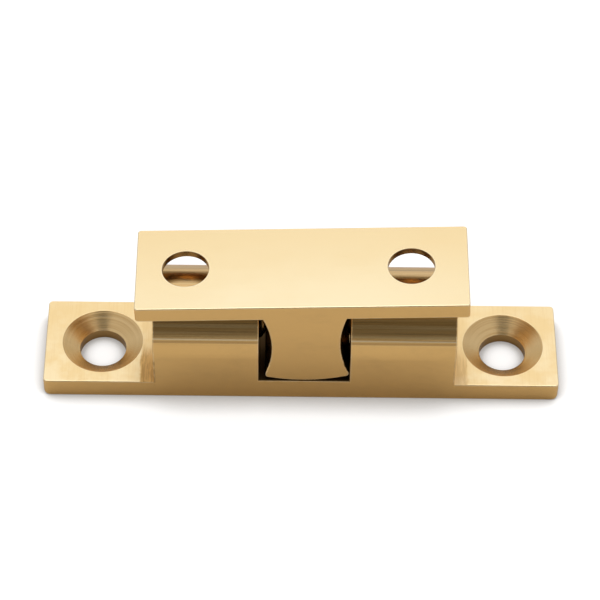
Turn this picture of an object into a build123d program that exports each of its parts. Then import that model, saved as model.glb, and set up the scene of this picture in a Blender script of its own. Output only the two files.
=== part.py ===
from build123d import *
import os
from math import cos, radians, sin, sqrt, tan

# Double ball catch for a cupboard door, in solid brass.
# The housing is screwed to the frame. It is a bar with a flat base and a round back, milled down to a thin
# ear at each end and slotted across the middle. A bore from each end of the round back holds a steel ball,
# a spring and a slotted adjusting screw. The strike is screwed to the door by its plain top face. Its tongue
# pushes in between the two balls, and they spring into the notches in its sides and hold it.
# X runs along the bar, Z is up from the base, and the origin is the middle of the base. Sizes are in mm.

# Housing
bar_length = 50.0
bar_width = 10.25
bar_height = 10.9
left_ear_length = 10.7
right_ear_length = 10.15
ear_thickness = 2.1
left_hole_inset = 5.55
right_hole_inset = 5.25
ear_hole_diameter = 4.5
ear_countersink_diameter = 7.9
ear_countersink_angle = 114.0
ear_corner_radius = 0.4
base_end_radius = 0.7
slot_width = 8.8
slot_floor_height = 2.5
edge_rounding = 0.1

# Strike
plate_length = 31.65
plate_width = 10.1
plate_thickness = 1.75
plate_shift = -0.25
plate_hole_spacing = 21.5
plate_hole_shift = -0.35
plate_hole_diameter = 4.5
plate_countersink_diameter = 6.6
plate_countersink_angle = 90.0
plate_corner_radius = 0.3
tongue_depth = 9.0
tongue_waist_width = 6.6
tongue_waist_depth = 3.9
tongue_notch_radius = 11.5
tongue_bottom_radius = 14.0
tongue_corner_radius = 0.4

# The strike lies loose in the catch, a little crooked: its right end is the higher one.
strike_tilt = 2.1
strike_shift = -0.02
strike_seat_clearance = 0.04

# Balls, springs and adjusting screws
ball_diameter = 5.0
ball_bore_clearance = 0.1
ball_lip_diameter = 4.8
ball_lip_thickness = 0.5
ball_lip_clearance = 0.04
ball_play = 0.15
thread_diameter = 6.0
thread_length = 3.8
adjuster_clearance = 0.05
adjuster_length = 2.2
adjuster_recess = 0.5
adjuster_chamfer = 0.3
driver_slot_width = 0.9
driver_slot_depth = 0.9
left_driver_slot_angle = 24.0
right_driver_slot_angle = -38.0
spring_wire_diameter = 0.45
spring_mean_diameter = 4.0
spring_turns = 3.0
spring_end_clearance = 0.04

# Places that follow from the sizes above
back_radius = bar_width / 2
bore_height = bar_height - back_radius
back_left = left_ear_length - bar_length / 2
back_right = bar_length / 2 - right_ear_length
slot_centre = (back_left + back_right) / 2
holes_x = plate_shift + plate_hole_shift
ball_radius = ball_diameter / 2
ball_bore_radius = ball_radius + ball_bore_clearance
wire_radius = spring_wire_diameter / 2

# The strike is made level, with the middle of the tongue's root as its origin, and then put in this place. The
# tongue's round bottom rests on the slot's floor, or the plate on the end of the back, whichever it meets first.
tilt = radians(strike_tilt)
bottom_arc_centre_depth = tongue_depth - tongue_bottom_radius
floor_seat = slot_floor_height + tongue_bottom_radius + bottom_arc_centre_depth * cos(tilt)
strike_x = slot_centre + strike_shift
back_seat = bar_height + max((strike_x - back_left) * tan(tilt), (strike_x - back_right) * tan(tilt))
strike_z = max(floor_seat, back_seat) + strike_seat_clearance
strike_place = Plane(
    origin=(strike_x, 0, strike_z), x_dir=(cos(tilt), 0, sin(tilt)), z_dir=(-sin(tilt), 0, cos(tilt))
)

# Half the tongue's width at its root and where its notches meet its round bottom
notch_centre_offset = tongue_waist_width / 2 + tongue_notch_radius


def notch_half_width(depth):
    """Half the tongue's width at a depth under the plate."""
    return notch_centre_offset - sqrt(tongue_notch_radius**2 - (depth - tongue_waist_depth) ** 2)


def lip_corner():
    """Half the width and the depth of the point where the notch meets the round bottom."""
    # both arcs pass through it, so it is found by going from one to the other until they agree
    depth = tongue_depth
    for _ in range(40):
        half = notch_half_width(depth)
        depth = bottom_arc_centre_depth + sqrt(tongue_bottom_radius**2 - half**2)
    return half, depth


root_half = notch_half_width(0)
lip_half, lip_depth = lip_corner()


def ball_place(side):
    """Where a ball's centre is along the bore, for side -1 at the left and 1 at the right."""
    # it is stopped by the notch, or by the lip at the mouth of its bore, whichever it meets first
    notch_centre = strike_place.from_local_coords((side * notch_centre_offset, 0, -tongue_waist_depth))
    reach = tongue_notch_radius - ball_radius - ball_play
    at_notch = side * notch_centre.X - sqrt(reach**2 - (bore_height - notch_centre.Z) ** 2)
    lip_edge = side * slot_centre + slot_width / 2 + ball_lip_thickness
    at_lip = lip_edge + sqrt((ball_radius + ball_lip_clearance) ** 2 - (ball_lip_diameter / 2) ** 2)
    return side * max(at_notch, at_lip)


def bore_plane(side, x):
    """A plane across the bore at x, facing out of its mouth."""
    return Plane(origin=(x, 0, bore_height), x_dir=(0, 1, 0), z_dir=(side, 0, 0))


os.makedirs("parts", exist_ok=True)

# Housing: the bar's section, then its outline from above and from the side
with BuildPart() as housing:
    with BuildSketch(Plane.YZ.offset(-bar_length / 2)):
        with Locations((0, bore_height / 2)):
            Rectangle(bar_width, bore_height)
        with Locations((0, bore_height)):
            Circle(back_radius)
    extrude(amount=bar_length)
    with BuildSketch(Plane.XY):
        RectangleRounded(bar_length, bar_width, ear_corner_radius)
    extrude(amount=bar_height, mode=Mode.INTERSECT)
    with BuildSketch(Plane.XZ) as side_outline:
        with Locations((0, bar_height / 2)):
            Rectangle(bar_length, bar_height)
        fillet(side_outline.vertices().group_by(Axis.Y)[0], base_end_radius)
        with Locations(((back_left - bar_length / 2) / 2, ear_thickness + bar_height / 2)):
            Rectangle(left_ear_length, bar_height, mode=Mode.SUBTRACT)
        with Locations(((back_right + bar_length / 2) / 2, ear_thickness + bar_height / 2)):
            Rectangle(right_ear_length, bar_height, mode=Mode.SUBTRACT)
        with Locations((slot_centre, slot_floor_height + bar_height / 2)):
            Rectangle(slot_width, bar_height, mode=Mode.SUBTRACT)
    extrude(amount=bar_width / 2, both=True, mode=Mode.INTERSECT)

    # round the outer edges a little, and leave the inner corners at the foot of each wall as milled
    walls = housing.faces().filter_by(Axis.X).sort_by(Axis.X)[1:-1]
    base, *tops = housing.faces().filter_by(Axis.Z).sort_by(Axis.Z)
    wall_feet = [edge for wall in walls for edge in wall.edges().group_by(Axis.Z)[0]]
    rims = [edge for face in (*walls, *tops) for edge in face.edges() if edge not in wall_feet]
    fillet(rims + base.edges().filter_by(Axis.X), edge_rounding)

    # the bore from each end: a tapped length, then the ball's bore, then the lip that keeps the ball in
    for side, back_end in ((-1, back_left), (1, back_right)):
        end_to_slot = side * (back_end - slot_centre) - slot_width / 2
        for radius, depth in (
            (thread_diameter / 2, thread_length),
            (ball_bore_radius, end_to_slot - ball_lip_thickness),
            (ball_lip_diameter / 2, end_to_slot),
        ):
            with BuildSketch(bore_plane(side, back_end)):
                Circle(radius)
            extrude(amount=-depth, mode=Mode.SUBTRACT)

    # a countersunk screw hole in each ear
    with Locations(
        (left_hole_inset - bar_length / 2, 0, ear_thickness), (bar_length / 2 - right_hole_inset, 0, ear_thickness)
    ):
        CounterSinkHole(
            radius=ear_hole_diameter / 2,
            counter_sink_radius=ear_countersink_diameter / 2,
            counter_sink_angle=ear_countersink_angle,
        )
housing.part.label = "housing"
export_step(housing.part, "parts/housing.step")

# Strike: one extruded section, with the plate's top and the tongue's front in one piece
with BuildPart() as strike:
    with BuildSketch(Plane.XZ) as strike_section:
        with Locations((plate_shift, plate_thickness / 2)):
            Rectangle(plate_length, plate_thickness)
        with BuildLine():
            Line((-root_half, 0), (root_half, 0))
            ThreePointArc(
                (root_half, 0), (tongue_waist_width / 2, -tongue_waist_depth), (lip_half, -lip_depth)
            )
            ThreePointArc((lip_half, -lip_depth), (0, -tongue_depth), (-lip_half, -lip_depth))
            ThreePointArc(
                (-lip_half, -lip_depth), (-tongue_waist_width / 2, -tongue_waist_depth), (-root_half, 0)
            )
        make_face()
        fillet(strike_section.vertices().group_by(Axis.Y)[0], tongue_corner_radius)
    extrude(amount=plate_width / 2, both=True)
    with BuildSketch(Plane.XY.offset(-tongue_depth)):
        with Locations((plate_shift, 0)):
            RectangleRounded(plate_length, plate_width, plate_corner_radius)
    extrude(amount=tongue_depth + plate_thickness, mode=Mode.INTERSECT)
    front_and_back = strike.faces().filter_by(Axis.Y)
    ends = strike.faces().filter_by(Axis.X)
    corners = strike.edges().filter_by(Axis.Z)
    rims = [edge for edge in front_and_back.edges() + ends.edges() if edge not in corners]
    fillet(rims, edge_rounding)
    with Locations(Plane.XY.rotated((180, 0, 0))):
        with Locations((holes_x - plate_hole_spacing / 2, 0), (holes_x + plate_hole_spacing / 2, 0)):
            CounterSinkHole(
                radius=plate_hole_diameter / 2,
                counter_sink_radius=plate_countersink_diameter / 2,
                counter_sink_angle=plate_countersink_angle,
            )
placed_strike = strike_place.location * strike.part
placed_strike.label = "strike"
export_step(placed_strike, "parts/strike.step")

# The ball, spring and adjusting screw in each bore
for name, side, back_end, slot_angle in (
    ("left", -1, back_left, left_driver_slot_angle),
    ("right", 1, back_right, right_driver_slot_angle),
):
    ball_x = ball_place(side)
    with BuildPart(Plane((ball_x, 0, bore_height))) as ball:
        Sphere(ball_radius)
    ball.part.label = f"{name}_ball"
    export_step(ball.part, f"parts/{name}_ball.step")

    with BuildPart() as adjuster:
        with BuildSketch(bore_plane(side, back_end - side * adjuster_recess)):
            Circle(thread_diameter / 2 - adjuster_clearance)
        extrude(amount=-adjuster_length)
        chamfer(adjuster.edges().filter_by(GeomType.CIRCLE), adjuster_chamfer)
        with BuildSketch(bore_plane(side, back_end - side * adjuster_recess)):
            Rectangle(driver_slot_width, thread_diameter, rotation=slot_angle)
        extrude(amount=-driver_slot_depth, mode=Mode.SUBTRACT)
    adjuster.part.label = f"{name}_adjuster"
    export_step(adjuster.part, f"parts/{name}_adjuster.step")

    # the spring's last turn rests on the screw, and its first turn round the back of the ball
    coil_start = back_end - side * (adjuster_recess + adjuster_length + spring_end_clearance + wire_radius)
    contact_reach = ball_radius + wire_radius + spring_end_clearance
    coil_end = ball_x + side * sqrt(contact_reach**2 - (spring_mean_diameter / 2) ** 2)
    coil_length = side * (coil_start - coil_end)
    with BuildPart() as spring:
        with BuildLine() as coil:
            Helix(
                pitch=coil_length / spring_turns,
                height=coil_length,
                radius=spring_mean_diameter / 2,
                center=(coil_start, 0, bore_height),
                direction=(-side, 0, 0),
            )
        with BuildSketch(Plane(origin=coil.line @ 0, z_dir=coil.line % 0)):
            Circle(wire_radius)
        sweep(is_frenet=True)
    spring.part.label = f"{name}_spring"
    export_step(spring.part, f"parts/{name}_spring.step")
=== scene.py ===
"""The looks of the double ball catch: its brass and steel, threads and springs, the light and the camera."""
from math import ceil, cos, pi, radians, sin

import bmesh
import bpy
from mathutils import Matrix, Vector


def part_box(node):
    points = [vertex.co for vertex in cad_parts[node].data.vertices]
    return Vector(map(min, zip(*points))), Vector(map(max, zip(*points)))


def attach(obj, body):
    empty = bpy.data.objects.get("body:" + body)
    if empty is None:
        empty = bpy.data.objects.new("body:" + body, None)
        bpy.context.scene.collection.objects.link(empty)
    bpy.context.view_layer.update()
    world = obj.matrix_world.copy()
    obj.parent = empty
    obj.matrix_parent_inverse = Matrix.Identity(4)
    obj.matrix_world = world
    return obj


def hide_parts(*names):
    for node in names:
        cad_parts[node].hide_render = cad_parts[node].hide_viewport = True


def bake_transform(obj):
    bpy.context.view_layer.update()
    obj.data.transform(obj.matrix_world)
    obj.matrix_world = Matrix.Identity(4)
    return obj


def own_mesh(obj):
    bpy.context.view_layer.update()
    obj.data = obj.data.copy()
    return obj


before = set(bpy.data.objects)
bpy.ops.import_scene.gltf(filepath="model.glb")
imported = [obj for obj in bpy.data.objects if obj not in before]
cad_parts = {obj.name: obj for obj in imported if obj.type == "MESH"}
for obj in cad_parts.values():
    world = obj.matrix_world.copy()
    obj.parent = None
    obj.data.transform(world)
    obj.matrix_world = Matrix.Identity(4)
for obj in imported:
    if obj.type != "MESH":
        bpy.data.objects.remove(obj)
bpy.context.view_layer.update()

MM = 0.001

# Sizes of the housing and of what is in its bores, as in the CAD model
back_left = -14.3 * MM
back_right = 14.85 * MM
ear_thickness = 2.1 * MM
slot_centre = 0.275 * MM
slot_width = 8.8 * MM
slot_floor_height = 2.5 * MM
ear_hole_x = (-19.45 * MM, 19.75 * MM)
ear_countersink_radius = 3.95 * MM
ear_hole_radius = 2.25 * MM
bore_height = 5.775 * MM
thread_radius = 3.0 * MM
thread_length = 3.8 * MM
adjuster_recess = 0.5 * MM
adjuster_length = 2.2 * MM
driver_slot_width = 0.9 * MM
driver_slot_depth = 0.9 * MM
driver_slot_angle = {"left": radians(24.0), "right": radians(-38.0)}
wire_radius = 0.225 * MM
coil_radius = 2.0 * MM
coil_turns = 3.0

# How much closer the coils lie at a spring's ends, and the share of its coil that shortens as the screw turns
coil_closing = 0.26
spring_joint_share = 0.2

# The strike's place: the middle of its tongue's root, and its tilt about Y
strike_origin = Vector((0.255 * MM, 0.0, 11.5434 * MM))
strike_tilt = radians(2.1)
plate_thickness = 1.75 * MM
plate_width = 10.1 * MM
plate_hole_x = (-11.35 * MM, 10.15 * MM)
plate_hole_radius = 2.25 * MM
plate_countersink_radius = 3.3 * MM
plate_countersink_depth = 1.05 * MM
tongue_root_reach = 3.9 * MM

# Painted light along the round back, near where it starts to turn over: a dark line of painted reflection and
# a bright painted highlight
dark_reflection_line_height = 7.72 * MM
dark_reflection_line_half_width = 0.11 * MM
highlight_line_height = 7.96 * MM
highlight_line_half_width = 0.07 * MM

# The round back's zones by height: where its streaks start and are full, a golden one of painted reflection,
# and one of painted shade
streaks_start_height = 7.2 * MM
streaks_full_height = 8.2 * MM
reflection_zone_bottom = 9.0 * MM
reflection_zone_top = 9.85 * MM
shaded_zone_bottom = 9.9 * MM
shaded_zone_full_height = 10.3 * MM

# The patch that the cutter left torn on each ear, by its reach from the step, and a line of painted shade
# down the front
torn_patch_full_reach = 1.45 * MM
torn_patch_reach = 1.7 * MM
step_shade_inset = 0.12 * MM
step_shade_half_width = 0.08 * MM
step_shade_top = 5.0 * MM

# How fine the brass's grains are, in bumps a millimetre along X, Y and Z
housing_drawn_grain = (0.02, 3.5, 3.5)
strike_drawn_grain = (0.03, 4.5, 4.5)
milled_grain = (8.0, 0.25, 0.25)
end_milled_grain = (1.0, 0.25, 5.0)
torn_grain = (3.2, 0.3, 0.3)

# The same for rings, with how far a point is from their middle in place of X
countersink_ring_grain = (5.0, 1.0, 1.0)
adjuster_ring_grain = (7.0, 1.0, 1.0)

# Relief of the brass in millimetres, the shaders' unit
flat_drawn_relief = 0.0012
round_drawn_relief = 0.0075
milled_relief = 0.0012
end_milled_relief = 0.0015
torn_relief = 0.007
ring_relief = 0.016
dark_line_depth = 0.004
strike_drawn_relief = 0.0008
adjuster_ring_relief = 0.004

# How far the pale edges reach, worn and painted as highlights, and the least roughness
pale_edge_reach = 0.22 * MM
least_roughness = 0.04

# The screw thread, M6 with a fine pitch, and the clearance between its two halves
thread_pitch = 0.75 * MM
thread_depth = 0.36 * MM
thread_crest_share = 0.16
thread_flank_share = 0.32
thread_clearance = 0.05 * MM
thread_lead_in = 0.45 * MM
adjuster_chamfer = 0.3 * MM

# The bore's thread is a sleeve: its gap to the bore's ends, and how far it reaches into the wall behind it
sleeve_gap = 0.02 * MM
sleeve_depth_in_wall = 0.01 * MM
driver_slot_cutter_overrun = 1.0 * MM

# How fine the round meshes are, and from which angle an edge is drawn sharp
thread_station_spacing = 0.05 * MM
thread_points_around = 96
coil_stations = 144
wire_points_around = 14
adjuster_sharp_angle = radians(32.0)
round_sharp_angle = radians(50.0)

# Camera, fitted to the corners and holes in the photograph
picture_side = 600
focal_length_px = 2816.3
sensor_width_mm = 36.0
camera_elevation = radians(49.157)
camera_turn = radians(0.588)
camera_roll = radians(1.072)
camera_distance = 271.31 * MM
camera_target = Vector((-0.206 * MM, 0.022 * MM, 8.527 * MM))
camera_nearest = 0.01
camera_farthest = 20.0

# Light. A strength of 1 shows a white surface as white. The lamp's lean is the sine of its angle to the back.
sky_strength = 1.0
lamp_strength = 1.85
lamp_lean = 0.12
side_strength = 0.63
camera_side_strength = 0.10
camera_side_low_strength = 0.26
backdrop_strength = 1.03

# Where the sky and the lamp start and are full, as cosines of the angle from the lamp's middle
sky_rim = 0.88
sky_full = 0.965
lamp_rim = 0.92
lamp_full = 0.985

# The floor: its colour, how far it is lifted to white in the picture and in metal, and its shadow.
# The shadow is painted into the lift by how open the floor is at a point, from where it is deepest to where
# it ends.
floor_side = 4.0
floor_colour = (0.505, 0.50, 0.49)
floor_lift = 0.73
floor_lift_at_contact = 0.20
contact_shadow_reach = 5.2 * MM
contact_shadow_deepest = 0.5
contact_shadow_end = 0.80
floor_lift_in_metal = 0.235
metal_shadow_reach = 9.0 * MM
metal_shadow_deepest = 0.55


def make_camera():
    """The photograph's view: looking along +Y and down, rolled a little."""
    ahead = cos(camera_elevation)
    forward = Vector((sin(camera_turn) * ahead, cos(camera_turn) * ahead, -sin(camera_elevation)))
    level = Vector((cos(camera_turn), -sin(camera_turn), 0.0))
    upright = level.cross(forward)
    right = level * cos(camera_roll) + upright * sin(camera_roll)
    up = upright * cos(camera_roll) - level * sin(camera_roll)
    data = bpy.data.cameras.new("camera")
    data.sensor_width = sensor_width_mm
    data.lens = focal_length_px / picture_side * sensor_width_mm
    data.clip_start = camera_nearest
    data.clip_end = camera_farthest
    camera = bpy.data.objects.new("camera", data)
    turned = Matrix((right, up, -forward)).transposed().to_4x4()
    camera.matrix_world = Matrix.Translation(camera_target - forward * camera_distance) @ turned
    bpy.context.scene.collection.objects.link(camera)
    bpy.context.scene.camera = camera


class Nodes:
    """Short names for one shader tree's nodes. A value is a number, a colour, a vector or a node's output."""

    def __init__(self, tree):
        self.tree = tree

    def add(self, kind, inputs=(), output=0, **settings):
        """A node with inputs, which are pairs of socket and value, and settings, and one of its outputs."""
        node = self.tree.nodes.new(kind)
        for name, value in settings.items():
            setattr(node, name, value)
        for socket, value in inputs:
            self.put(value, node.inputs[socket])
        return node.outputs[output]

    def put(self, value, socket):
        """Sets a socket, or links another node's output to it."""
        if isinstance(value, bpy.types.NodeSocket):
            self.tree.links.new(value, socket)
        elif hasattr(value, "__len__") and len(value) == 3 and socket.type == "RGBA":
            socket.default_value = (*value, 1.0)
        else:
            socket.default_value = value

    def calc(self, operation, *values):
        return self.add("ShaderNodeMath", enumerate(values), operation=operation)

    def sum(self, *values):
        total = values[0]
        for value in values[1:]:
            total = self.calc("ADD", total, value)
        return total

    def times(self, *values):
        product = values[0]
        for value in values[1:]:
            product = self.calc("MULTIPLY", product, value)
        return product

    def vector(self, operation, *values):
        output = 1 if operation in ("LENGTH", "DOT_PRODUCT", "DISTANCE") else 0
        return self.add("ShaderNodeVectorMath", enumerate(values), output, operation=operation)

    def split(self, vector):
        node = self.add("ShaderNodeSeparateXYZ", [(0, vector)]).node
        return node.outputs[0], node.outputs[1], node.outputs[2]

    def ramp(self, value, start, end, low=0.0, high=1.0):
        """Goes smoothly from low at start to high at end."""
        ends = [("From Min", start), ("From Max", end), ("To Min", low), ("To Max", high)]
        return self.add("ShaderNodeMapRange", [("Value", value), *ends], interpolation_type="SMOOTHSTEP")

    def blend(self, share, first, second):
        """A number between two."""
        return self.add("ShaderNodeMix", [(0, share), (2, first), (3, second)])

    def mix(self, share, first, second):
        """A colour between two."""
        node = self.add("ShaderNodeMix", data_type="RGBA").node
        for socket, value in ((0, share), (6, first), (7, second)):
            self.put(value, node.inputs[socket])
        return node.outputs[2]

    def noise(self, place, per_mm, detail=2.0, roughness=0.5):
        """Noise from 0 to 1, with about so many bumps a millimetre along X, Y and Z."""
        stretched = self.vector("MULTIPLY", place, per_mm)
        settings = [("Vector", stretched), ("Scale", 1.0), ("Detail", detail), ("Roughness", roughness)]
        return self.add("ShaderNodeTexNoise", settings)


class Finish(Nodes):
    """A metal's shader. Its place is in millimetres in the piece's own frame."""

    def __init__(self, name, origin=(0.0, 0.0, 0.0), tilt=0.0):
        self.material = bpy.data.materials.new(name)
        self.material.use_nodes = True
        super().__init__(self.material.node_tree)
        self.shader = self.tree.nodes["Principled BSDF"]
        self.shader.inputs["Metallic"].default_value = 1.0
        own = self.add("ShaderNodeTexCoord", output="Object")
        moved = self.vector("SUBTRACT", own, tuple(origin))
        turned = [("Vector", moved), ("Angle", tilt)]
        level = self.add("ShaderNodeVectorRotate", turned, rotation_type="Y_AXIS")
        self.place = self.add("ShaderNodeVectorMath", [(0, level), ("Scale", 1.0 / MM)], operation="SCALE")
        self.x, self.y, self.z = self.split(self.place)

    def inside(self, value, low, high, edge=0.02):
        """1 where the value lies between low and high, 0 elsewhere."""
        return self.times(self.ramp(value, low - edge, low), self.ramp(value, high, high + edge, 1.0, 0.0))

    def line(self, value, middle, half_width):
        """1 on a soft line, 0 beside it."""
        return self.inside(value, middle - half_width / 2, middle + half_width / 2, half_width)

    def from_nearest(self, places):
        """How far a point is from the nearest of some upright axes, which are at Y 0."""
        distances = []
        for place in places:
            off_axis = self.vector("SUBTRACT", self.place, (place / MM, 0.0, 0.0))
            distances.append(self.vector("LENGTH", self.vector("MULTIPLY", off_axis, (1.0, 1.0, 0.0))))
        return self.calc("MINIMUM", *distances)

    def pale_edges(self):
        """1 along the piece's outer edges, unevenly, and 0 on its faces."""
        kind = "ShaderNodeAmbientOcclusion"
        depth = self.add(kind, [("Distance", pale_edge_reach)], "AO", inside=True, only_local=True, samples=8)
        uneven = self.ramp(self.noise(self.place, (1.3, 1.3, 1.3)), 0.3, 0.6, 0.45, 1.0)
        return self.times(self.ramp(depth, 0.6, 0.95, 1.0, 0.0), uneven)

    def done(self, colour, roughness, height):
        """Links the colour, the roughness and a height in millimetres to the shader."""
        self.put(colour, self.shader.inputs["Base Color"])
        self.put(self.calc("MAXIMUM", roughness, least_roughness), self.shader.inputs["Roughness"])
        bump = self.add("ShaderNodeBump", [("Height", height), ("Distance", MM), ("Strength", 1.0)])
        self.put(bump, self.shader.inputs["Normal"])
        return self.material


# Colours of the brass: drawn, cut with painted light, pale for wear and painted highlights, turned, and dull.
# The rest: the round back's painted shade and reflection, torn places, stains and painted shade, the slot's
# shade.
drawn_brass = (0.86, 0.53, 0.195)
cut_and_lit_brass = (0.86, 0.64, 0.325)
pale_brass = (0.96, 0.81, 0.53)
turned_brass = (0.84, 0.60, 0.30)
turned_brass_shade_in_front = (0.54, 0.35, 0.135)
dull_brass = (0.66, 0.42, 0.17)
shaded_brass = (0.42, 0.34, 0.22)
underside_reflection_brass = (0.74, 0.42, 0.12)
torn_brass = (0.68, 0.41, 0.14)
stain_and_shade_brass = (0.42, 0.25, 0.09)
slot_shade_brass = (0.13, 0.082, 0.035)

# Colours of the steel, and of the stains on it
ball_steel_colour = (0.62, 0.62, 0.63)
ball_steel_stain = (0.45, 0.44, 0.43)
spring_steel_colour = (0.42, 0.42, 0.43)
spring_steel_stain = (0.25, 0.24, 0.23)


def cloudy_brass(finish, main, dull, share):
    """A brass that is a little duller in soft, uneven patches."""
    patches = finish.noise(finish.place, (0.22, 0.4, 0.4), 3.0, 0.6)
    specks = finish.noise(finish.place, (1.1, 1.6, 1.6), 2.0)
    clouds = finish.sum(finish.times(patches, 0.7), finish.times(specks, 0.3))
    return finish.mix(finish.ramp(clouds, 0.42, 0.72, 0.0, share), main, dull)


class HousingFinish(Finish):
    """Satin brass: drawn along the bar, milled on the ears, turned in the countersinks, with painted shade in
    the slot.
    """

    def __init__(self):
        super().__init__("housing_brass_satin")
        self.mask_faces()
        self.mask_marks()
        self.drawn = self.noise(self.place, housing_drawn_grain, 3.0, 0.65)
        self.milled = self.noise(self.place, milled_grain, 3.0, 0.6)
        self.end_milled = self.noise(self.place, end_milled_grain, 3.0, 0.6)
        self.torn_marks = self.noise(self.place, torn_grain, 4.0, 0.7)
        self.edges = self.pale_edges()
        self.done(self.colour(), self.roughness(), self.relief())

    def relief(self):
        """The height of the drawn lines, the milling, the torn places and the rings, in millimetres."""
        drawn_relief = self.calc("MULTIPLY_ADD", self.streaks_and_reflection, round_drawn_relief, flat_drawn_relief)
        return self.sum(
            self.times(self.plain, self.drawn, drawn_relief),
            self.times(self.dark_reflection_line, -dark_line_depth),
            self.times(self.top, self.milled, milled_relief),
            self.times(self.end, self.end_milled, end_milled_relief),
            self.times(self.torn, self.torn_marks, torn_relief),
            self.times(self.sink, self.rings, ring_relief),
        )

    def colour(self):
        """The bar's colour, then the ears, the countersinks, the edges, the torn places and the slot."""
        colour = self.round_back_colour(cloudy_brass(self, drawn_brass, dull_brass, 0.30))
        colour = self.mix(self.top, colour, self.cut_colour())
        colour = self.mix(self.sink, colour, self.turned_colour())
        # pale edges: wear, and a painted highlight along them
        colour = self.mix(self.times(self.edges, 0.75), colour, pale_brass)
        # worse at the left step than at the right one, for the torn patch and for the painted shade
        worse = self.ramp(self.x, -1.0, 1.0, 1.0, 0.35)
        marks = self.ramp(self.torn_marks, 0.44, 0.60, 0.0, 0.75)
        colour = self.mix(self.times(self.torn, worse, 0.9), colour, torn_brass)
        colour = self.mix(self.times(self.torn, marks, worse), colour, stain_and_shade_brass)
        # painted shade down the front at each step
        colour = self.mix(self.times(self.step_shade, worse, 0.6), colour, stain_and_shade_brass)
        # painted shade in the ear's through-hole
        colour = self.mix(self.times(self.hole, 0.75), colour, stain_and_shade_brass)
        # painted shade in the slot, near black
        return self.mix(self.slot, colour, slot_shade_brass)

    def roughness(self):
        """The plain brass's roughness, with how much rougher some places are."""
        return self.sum(
            0.20,
            self.times(self.plain, self.ramp(self.drawn, 0.3, 0.7, 0.0, 0.04)),
            self.times(self.top, 0.08),
            self.times(self.torn, 0.10),
            self.times(self.sink, 0.06),
            self.times(self.edges, 0.08),
            self.times(self.slot, 0.25),
        )

    def mask_faces(self):
        """Which part of the housing a point is on, as masks of 0 and 1."""
        to_left = self.calc("SUBTRACT", back_left / MM, self.x)
        to_right = self.calc("SUBTRACT", self.x, back_right / MM)
        self.from_back = self.calc("MAXIMUM", to_left, to_right)
        in_ear = self.ramp(self.from_back, 0.0, 0.02)
        on_top = self.ramp(self.z, ear_thickness / MM - 0.08, ear_thickness / MM - 0.03)
        self.from_hole = self.from_nearest(ear_hole_x)
        rim = ear_countersink_radius / MM
        bottom = ear_hole_radius / MM
        in_sink = self.times(in_ear, self.ramp(self.from_hole, rim - 0.03, rim - 0.01, 1.0, 0.0))
        self.hole = self.times(in_ear, self.ramp(self.from_hole, bottom + 0.01, bottom + 0.03, 1.0, 0.0))
        self.sink = self.times(in_sink, self.without(self.hole))
        self.top = self.times(in_ear, on_top, self.without(in_sink))
        self.slot = self.times(
            self.inside(self.x, (slot_centre - slot_width / 2) / MM, (slot_centre + slot_width / 2) / MM),
            self.ramp(self.z, slot_floor_height / MM - 0.06, slot_floor_height / MM - 0.02),
        )
        in_back = self.ramp(self.z, ear_thickness / MM + 0.03, ear_thickness / MM + 0.08)
        self.end = self.times(self.inside(self.from_back, -0.03, 0.02), in_back)
        self.plain = self.times(
            self.without(self.top), self.without(in_sink), self.without(self.slot), self.without(self.end)
        )

    def mask_marks(self):
        """Where the round back's streaks and its painted dark and bright lines, the countersinks' rings, the
        torn places and the painted shade at the steps are.
        """
        streaks_and_reflection = self.ramp(self.z, streaks_start_height / MM, streaks_full_height / MM)
        self.streaks_and_reflection = self.times(self.plain, streaks_and_reflection)
        dark_reflection_line = self.line(self.z, dark_reflection_line_height / MM, dark_reflection_line_half_width / MM)
        highlight_line = self.line(self.z, highlight_line_height / MM, highlight_line_half_width / MM)
        self.dark_reflection_line = self.times(self.plain, dark_reflection_line)
        self.highlight_line = self.times(self.plain, highlight_line)
        off_round = [(1, self.times(self.x, 0.03)), (2, self.times(self.y, 0.03))]
        around = self.add("ShaderNodeCombineXYZ", [(0, self.from_hole), *off_round])
        self.rings = self.noise(around, countersink_ring_grain, 3.0, 0.7)
        # the rough patch that the cutter left on each ear next to the step, towards the front
        uneven = self.times(self.noise(self.place, (0.3, 1.2, 0.3)), 0.5)
        reach = self.sum(self.from_back, uneven)
        near_step = self.ramp(reach, torn_patch_full_reach / MM, torn_patch_reach / MM, 1.0, 0.0)
        to_front = self.ramp(self.y, -2.4, 0.0, 1.0, 0.12)
        self.torn = self.times(self.top, near_step, to_front)
        # and a line of painted shade down the front, just inside each step
        down = self.inside(self.z, ear_thickness / MM - 0.2, step_shade_top / MM, 0.8)
        uneven_shade = self.ramp(self.noise(self.place, (1.5, 1.5, 1.5)), 0.35, 0.55)
        in_front = self.ramp(self.y, -3.0, -2.5, 1.0, 0.0)
        shade_line = self.line(self.from_back, -step_shade_inset / MM, step_shade_half_width / MM)
        self.step_shade = self.times(shade_line, down, uneven_shade, in_front)

    def without(self, mask):
        return self.calc("SUBTRACT", 1.0, mask)

    def round_back_colour(self, colour):
        """The round back: a golden zone of painted reflection, drawn streaks with painted reflection, painted
        shade at the top, and a dark line of painted reflection under a painted highlight line.
        """
        # a golden zone of painted reflection of the strike's underside, below the painted shade at the top
        painted_golden = self.inside(self.z, reflection_zone_bottom / MM, reflection_zone_top / MM, 0.4)
        colour = self.mix(self.times(self.plain, painted_golden, 0.85), colour, underside_reflection_brass)
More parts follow.
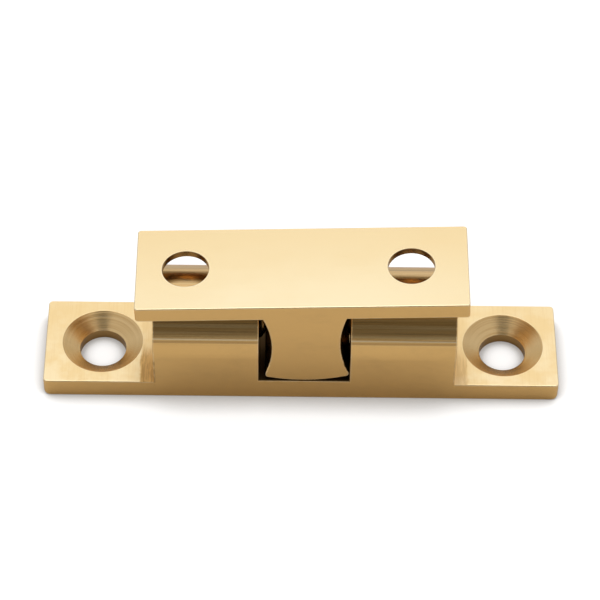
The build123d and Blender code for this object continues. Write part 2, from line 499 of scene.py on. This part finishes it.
        # the drawn streaks high on the round back, darker and paler: drawn grain with painted reflection
        stained = self.ramp(self.drawn, 0.38, 0.5, 0.65, 0.0)
        painted_highlight = self.ramp(self.drawn, 0.5, 0.62, 0.0, 0.55)
        colour = self.mix(self.times(self.streaks_and_reflection, stained), colour, stain_and_shade_brass)
        colour = self.mix(self.times(self.streaks_and_reflection, painted_highlight), colour, cut_and_lit_brass)
        shaded = self.ramp(self.z, shaded_zone_bottom / MM, shaded_zone_full_height / MM, 0.0, 0.4)
        colour = self.mix(self.times(self.plain, shaded), colour, shaded_brass)
        # a dark line of painted reflection, with a painted highlight line just above it
        colour = self.mix(self.times(self.dark_reflection_line, 0.62), colour, stain_and_shade_brass)
        return self.mix(self.times(self.highlight_line, 0.6), colour, pale_brass)

    def cut_colour(self):
        """The ears' tops: pale, as milled and as painted light, and paler towards the front as a painted
        highlight, with faint lines across the bar and warmer patches.
        """
        paler = self.ramp(self.noise(self.place, (0.35, 0.35, 0.35), 3.0, 0.6), 0.40, 0.68, 0.05, 0.55)
        # paler towards the front: a painted highlight
        forward = self.ramp(self.y, -4.0, 3.5, 1.2, 0.7)
        cut = self.mix(self.times(paler, forward), cut_and_lit_brass, pale_brass)
        return self.mix(self.ramp(self.milled, 0.45, 0.75, 0.0, 0.16), cut, dull_brass)

    def turned_colour(self):
        """The countersinks: fine rings, with painted light: more golden and a little deeper at the back of
        each, and painted shade in front.
        """
        painted_golden = self.ramp(self.y, 0.6, 2.6)
        ring = self.ramp(self.rings, 0.38, 0.62)
        ringed = self.times(ring, self.calc("MULTIPLY_ADD", painted_golden, 0.5, 0.2))
        fine = self.mix(ringed, turned_brass, dull_brass)
        deeper = self.mix(self.times(painted_golden, 0.12), fine, dull_brass)
        # painted shade on the front of each countersink
        return self.mix(self.ramp(self.y, -1.6, 1.0, 0.75, 0.0), deeper, turned_brass_shade_in_front)


def strike_finish():
    """Satin brass with fine lines along the plate. Its top is paler towards the front and middle, a painted
    highlight, and its underside, countersinks and holes have painted shade.
    """
    f = Finish("strike_brass_satin", strike_origin, strike_tilt)
    drawn = f.noise(f.place, strike_drawn_grain, 3.0, 0.6)
    top = f.ramp(f.z, plate_thickness / MM - 0.08, plate_thickness / MM - 0.03)
    from_middle = f.calc("ABSOLUTE", f.x)
    off_tongue = f.ramp(from_middle, tongue_root_reach / MM, tongue_root_reach / MM + 0.1)
    below = f.times(f.ramp(f.z, 0.05, 0.09, 1.0, 0.0), off_tongue)
    from_hole = f.from_nearest(plate_hole_x)
    rim = plate_countersink_radius / MM
    depth = plate_countersink_depth / MM
    low_enough = f.ramp(f.z, depth + 0.05, depth + 0.1, 1.0, 0.0)
    sink = f.times(f.ramp(from_hole, rim, rim + 0.03, 1.0, 0.0), low_enough)
    hole = f.ramp(from_hole, plate_hole_radius / MM + 0.01, plate_hole_radius / MM + 0.03, 1.0, 0.0)
    half_width = plate_width / 2 / MM
    # the top's painted highlight, patchy, paler towards the front and the middle
    forward = f.ramp(f.y, -half_width, half_width, 1.0, 0.42)
    middle = f.ramp(from_middle, 5.0, 16.0, 1.0, 0.8)
    patchy = f.noise(f.place, (0.12, 0.25, 0.25), 3.0, 0.6)
    lines = f.ramp(drawn, 0.4, 0.7, 0.0, 0.08)
    painted_highlight = f.mix(f.times(forward, middle, f.ramp(patchy, 0.3, 0.6, 0.85, 1.0)), cut_and_lit_brass, pale_brass)
    edges = f.pale_edges()
    colour = f.mix(top, cloudy_brass(f, drawn_brass, dull_brass, 0.22), f.mix(lines, painted_highlight, cut_and_lit_brass))
    # pale edges: wear, and a painted highlight along them
    colour = f.mix(f.times(edges, 0.75), colour, pale_brass)
    # painted shade under the plate, in its countersinks and in its holes
    colour = f.mix(below, colour, shaded_brass)
    colour = f.mix(f.times(sink, 0.5), colour, shaded_brass)
    colour = f.mix(hole, colour, shaded_brass)
    colour = f.mix(f.times(hole, 0.35), colour, stain_and_shade_brass)
    roughness = f.sum(0.22, f.ramp(drawn, 0.3, 0.7, 0.0, 0.04), f.times(edges, 0.08))
    return f.done(colour, roughness, f.times(drawn, strike_drawn_relief))


def adjuster_finish():
    """Turned brass, a little darker from oil."""
    f = Finish("adjuster_brass_turned")
    off_axis = f.vector("SUBTRACT", f.place, (0.0, 0.0, bore_height / MM))
    distance = f.vector("LENGTH", f.vector("MULTIPLY", off_axis, (0.0, 1.0, 1.0)))
    rings = f.noise(f.add("ShaderNodeCombineXYZ", [(0, distance)]), adjuster_ring_grain, 3.0, 0.6)
    colour = cloudy_brass(f, drawn_brass, dull_brass, 0.45)
    roughness = f.ramp(rings, 0.3, 0.7, 0.22, 0.34)
    return f.done(colour, roughness, f.times(rings, adjuster_ring_relief))


def steel_finish(name, colour, stain, roughness, height):
    """Steel with faint cloudy stains and fine scratches."""
    f = Finish(name)
    clouds = f.noise(f.place, (0.6, 0.6, 0.6), 4.0, 0.6)
    scratches = f.noise(f.place, (1.0, 14.0, 14.0), 3.0)
    stained = f.mix(f.ramp(clouds, 0.4, 0.75), colour, stain)
    scratched = f.ramp(scratches, 0.35, 0.7, roughness, roughness * 1.6)
    return f.done(stained, scratched, f.times(scratches, height))


def link_piece(name, mesh, material):
    """A new object of a finished mesh."""
    mesh.materials.clear()
    mesh.materials.append(material)
    piece = bpy.data.objects.new(name, mesh)
    bpy.context.scene.collection.objects.link(piece)
    return piece


def smooth(mesh, sharp_angle):
    """Smooth shading, with edges sharper than the angle kept."""
    for face in mesh.polygons:
        face.use_smooth = True
    mesh.set_sharp_from_angle(angle=sharp_angle)


def mesh_of(bm, name):
    """The mesh of a finished bmesh."""
    mesh = bpy.data.meshes.new(name)
    bm.to_mesh(mesh)
    bm.free()
    return mesh


def join_rings(bm, first, second):
    """A band of faces between two rings of points."""
    count = len(first)
    for k in range(count):
        n = (k + 1) % count
        bm.faces.new((first[k], first[n], second[n], second[k]))


def thread_height(phase):
    """How far a thread stands up at a share of its pitch, from 0 at the root to 1 at the crest."""
    from_crest = abs((phase + 0.5) % 1.0 - 0.5) - thread_crest_share / 2
    return min(1.0, max(0.0, 1.0 - from_crest / thread_flank_share))


def thread_groove(x, angle):
    """How deep the thread's groove is at a place, the same for the screw and the bore."""
    return thread_depth * (1.0 - thread_height(x / thread_pitch - angle / (2 * pi)))


def turned_mesh(name, start, end, radius_at, inner=None):
    """A closed round body about the bore's axis, with an outer and an inner radius for each x and angle."""
    bm = bmesh.new()
    count = max(2, ceil(abs(end - start) / thread_station_spacing))
    stations = [start + (end - start) * i / count for i in range(count + 1)]

    def ring(x, radius):
        points = []
        for k in range(thread_points_around):
            angle = 2 * pi * k / thread_points_around
            r = radius(x, angle)
            points.append(bm.verts.new((x, r * cos(angle), bore_height + r * sin(angle))))
        return points

    outer = [ring(x, radius_at) for x in stations]
    walls = list(zip(outer, outer[1:]))
    if inner is None:
        bm.faces.new(outer[0])
        bm.faces.new(outer[-1])
    else:
        hole = [ring(x, inner) for x in stations]
        walls += list(zip(hole, hole[1:])) + [(outer[0], hole[0]), (outer[-1], hole[-1])]
    for first, second in walls:
        join_rings(bm, first, second)
    bmesh.ops.recalc_face_normals(bm, faces=bm.faces)
    return mesh_of(bm, name)


def cut_box(mesh, corners, turn_at, angle):
    """The mesh with a box cut out of it, turned about the bore's axis at a point."""
    low, high = corners
    bm = bmesh.new()
    bmesh.ops.create_cube(bm, size=1.0)
    for vert in bm.verts:
        for axis in range(3):
            vert.co[axis] = low[axis] if vert.co[axis] < 0 else high[axis]
        vert.co = Matrix.Rotation(angle, 3, "X") @ (vert.co - turn_at) + turn_at
    cutter = bpy.data.objects.new("cutter", mesh_of(bm, "cutter"))
    body = bpy.data.objects.new("body", mesh)
    for made in (cutter, body):
        bpy.context.scene.collection.objects.link(made)
    cut = body.modifiers.new("cut", "BOOLEAN")
    cut.operation = "DIFFERENCE"
    cut.solver = "EXACT"
    cut.object = cutter
    graph = bpy.context.evaluated_depsgraph_get()
    result = bpy.data.meshes.new_from_object(body.evaluated_get(graph))
    result.name = mesh.name
    bpy.data.objects.remove(body)
    bpy.data.objects.remove(cutter)
    return result


def make_adjuster(name, side, back_end, material):
    """The threaded adjusting screw with its driver slot."""
    outer_end = back_end - side * adjuster_recess
    inner_end = outer_end - side * adjuster_length
    crest = thread_radius - thread_clearance

    def radius_at(x, angle):
        from_end = min(abs(x - outer_end), abs(x - inner_end))
        chamfered = crest - max(0.0, adjuster_chamfer - from_end)
        return min(chamfered, crest - thread_groove(x, angle))

    mesh = turned_mesh(f"{name}_adjuster_threaded", outer_end, inner_end, radius_at)
    axis_point = Vector((outer_end, 0.0, bore_height))
    bottom = outer_end - side * driver_slot_depth
    past = outer_end + side * driver_slot_cutter_overrun
    low = (min(bottom, past), -driver_slot_width / 2, bore_height - 2 * thread_radius)
    high = (max(bottom, past), driver_slot_width / 2, bore_height + 2 * thread_radius)
    mesh = cut_box(mesh, (low, high), axis_point, driver_slot_angle[name])
    smooth(mesh, adjuster_sharp_angle)
    piece = link_piece(f"{name}_adjuster_threaded", mesh, material)
    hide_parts(f"{name}_adjuster")
    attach(piece, f"{name}_adjuster")


def make_bore_thread(name, side, back_end, material):
    """The thread that is cut in the mouth of a bore, a thin sleeve against the bore's wall."""
    mouth = back_end - side * sleeve_gap
    deep = back_end - side * (thread_length - sleeve_gap)

    def radius_at(x, angle):
        lead_in = min(1.0, abs(x - back_end) / thread_lead_in)
        return thread_radius - thread_groove(x, angle) * lead_in

    def wall(x, angle):
        return thread_radius + sleeve_depth_in_wall

    mesh = turned_mesh(f"{name}_bore_thread", mouth, deep, wall, inner=radius_at)
    smooth(mesh, round_sharp_angle)
    piece = link_piece(f"{name}_bore_thread", mesh, material)
    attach(piece, "housing")


def coil_mesh(name, points):
    """A round wire along points, closed at both ends."""
    bm = bmesh.new()
    rings = []
    for i, point in enumerate(points):
        ahead = points[min(i + 1, len(points) - 1)]
        behind = points[max(i - 1, 0)]
        along = (ahead - behind).normalized()
        outward = Vector((0.0, point.y, point.z - bore_height)).normalized()
        sideways = along.cross(outward).normalized()
        outward = sideways.cross(along)
        ring = []
        for k in range(wire_points_around):
            angle = 2 * pi * k / wire_points_around
            ring.append(bm.verts.new(point + (outward * cos(angle) + sideways * sin(angle)) * wire_radius))
        rings.append(ring)
    for first, second in zip(rings, rings[1:]):
        join_rings(bm, first, second)
    bm.faces.new(rings[0])
    bm.faces.new(rings[-1])
    bmesh.ops.recalc_face_normals(bm, faces=bm.faces)
    mesh = mesh_of(bm, name)
    smooth(mesh, round_sharp_angle)
    return mesh


def make_spring(name, side, material):
    """The spring in two lengths: one shortens as the ball goes in, the other as the screw turns."""
    low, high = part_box(f"{name}_spring")
    ball_end, screw_end = (low.x, high.x) if side > 0 else (high.x, low.x)
    ball_end += side * wire_radius
    screw_end -= side * wire_radius

    def point(share):
        turn = 2 * pi * coil_turns * share
        eased = share - coil_closing * sin(2 * pi * share) / (2 * pi)
        x = screw_end + (ball_end - screw_end) * eased
        return Vector((x, coil_radius * cos(turn), bore_height + coil_radius * sin(turn)))

    last = round(coil_stations * spring_joint_share)
    screw_part = [point(i / coil_stations) for i in range(last + 1)]
    ball_part = [point(i / coil_stations) for i in range(last, coil_stations + 1)]

    mesh = coil_mesh(f"{name}_spring_screw_end", screw_part)
    piece = link_piece(mesh.name, mesh, material)
    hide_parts(f"{name}_spring")
    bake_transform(piece)

    mesh = coil_mesh(f"{name}_spring_ball_end", ball_part)
    piece = link_piece(mesh.name, mesh, material)
    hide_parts(f"{name}_spring")
    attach(piece, "housing")
    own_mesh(piece)


def seen_by(n):
    """1 for what the camera sees directly, and 1 for what metal and glass show of the surroundings."""
    path = n.add("ShaderNodeLightPath").node
    in_metal = n.calc("MAXIMUM", path.outputs["Is Glossy Ray"], path.outputs["Is Transmission Ray"])
    return path.outputs["Is Camera Ray"], in_metal


def make_floor():
    """A plain pale floor. The camera sees it lifted to white, but for a painted shadow of the catch."""
    bm = bmesh.new()
    bmesh.ops.create_grid(bm, x_segments=1, y_segments=1, size=floor_side / 2)
    mesh = mesh_of(bm, "floor")
    material = bpy.data.materials.new("floor_pale")
    material.use_nodes = True
    n = Nodes(material.node_tree)
    n.tree.nodes.clear()
    in_picture, in_metal = seen_by(n)
    # a painted shadow, looking to the back, so that it falls mostly in front of the catch and little beside
    # it
    openness = n.add(
        "ShaderNodeAmbientOcclusion",
        [("Distance", contact_shadow_reach), ("Normal", (0.0, 1.0, 0.0))],
        "AO",
        samples=32,
    )
    shown = n.add(
        "ShaderNodeMapRange",
        [
            ("Value", openness),
            ("From Min", contact_shadow_deepest),
            ("From Max", contact_shadow_end),
            ("To Min", floor_lift_at_contact),
            ("To Max", floor_lift),
        ],
    )
    wide_openness = n.add("ShaderNodeAmbientOcclusion", [("Distance", metal_shadow_reach)], "AO", samples=8)
    mirrored = n.add(
        "ShaderNodeMapRange",
        [("Value", wide_openness), ("From Min", metal_shadow_deepest), ("To Max", floor_lift_in_metal)],
    )
    lift = n.sum(n.times(in_picture, shown), n.times(in_metal, mirrored))
    matt = n.add("ShaderNodeBsdfDiffuse", [("Color", floor_colour)])
    glow = n.add("ShaderNodeEmission", [("Color", (1.0, 1.0, 1.0)), ("Strength", lift)])
    both = n.add("ShaderNodeAddShader", [(0, matt), (1, glow)])
    output = n.tree.nodes.new("ShaderNodeOutputMaterial")
    n.put(both, output.inputs["Surface"])
    mesh.materials.append(material)
    floor = bpy.data.objects.new("floor", mesh)
    bpy.context.scene.collection.objects.link(floor)


def make_world():
    """A lamp overhead, walls that are dim behind the camera, and a white backdrop for camera and metal."""
    world = bpy.data.worlds.new("studio")
    bpy.context.scene.world = world
    world.use_nodes = True
    n = Nodes(world.node_tree)
    background = n.tree.nodes["Background"]
    in_picture, in_metal = seen_by(n)
    towards = n.add("ShaderNodeTexCoord", output="Generated")
    # the parts of a direction along X, Y and Z, each from -1 to 1
    x, y, z = n.split(towards)
    across = n.calc("ABSOLUTE", x)
    camera_side = n.times(n.ramp(y, -0.35, -0.05, 1.0, 0.0), n.ramp(across, 0.14, 0.28, 1.0, 0.0))
    dim = n.ramp(z, 0.0, 0.3, camera_side_low_strength, camera_side_strength)
    backdrop = n.times(in_metal, n.ramp(y, -0.1, 0.3), n.ramp(across, 0.25, 0.75, 1.0, 0.0))
    walls = n.blend(backdrop, n.blend(camera_side, side_strength, dim), backdrop_strength)
    overhead = n.sum(n.times(y, lamp_lean), n.times(z, (1.0 - lamp_lean**2) ** 0.5))
    around = n.blend(n.ramp(overhead, sky_rim, sky_full), walls, sky_strength)
    strength = n.sum(around, n.ramp(overhead, lamp_rim, lamp_full, 0.0, lamp_strength))
    lit = n.calc("MAXIMUM", strength, in_picture)
    n.put((1.0, 1.0, 1.0), background.inputs["Color"])
    n.put(lit, background.inputs["Strength"])


make_camera()
make_world()
make_floor()

housing_brass = HousingFinish().material
strike_brass = strike_finish()
adjuster_brass = adjuster_finish()
ball_steel = steel_finish("ball_steel_polished", ball_steel_colour, ball_steel_stain, 0.12, 0.0004)
spring_steel = steel_finish("spring_steel_wire", spring_steel_colour, spring_steel_stain, 0.30, 0.0015)

for node, material in (
    ("housing", housing_brass),
    ("strike", strike_brass),
    ("left_ball", ball_steel),
    ("right_ball", ball_steel),
):
    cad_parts[node].data.materials[0] = material

for name, side, back_end in (("left", -1, back_left), ("right", 1, back_right)):
    make_adjuster(name, side, back_end, adjuster_brass)
    make_bore_thread(name, side, back_end, housing_brass)
    make_spring(name, side, spring_steel)

bpy.context.scene.view_settings.view_transform = "Standard"
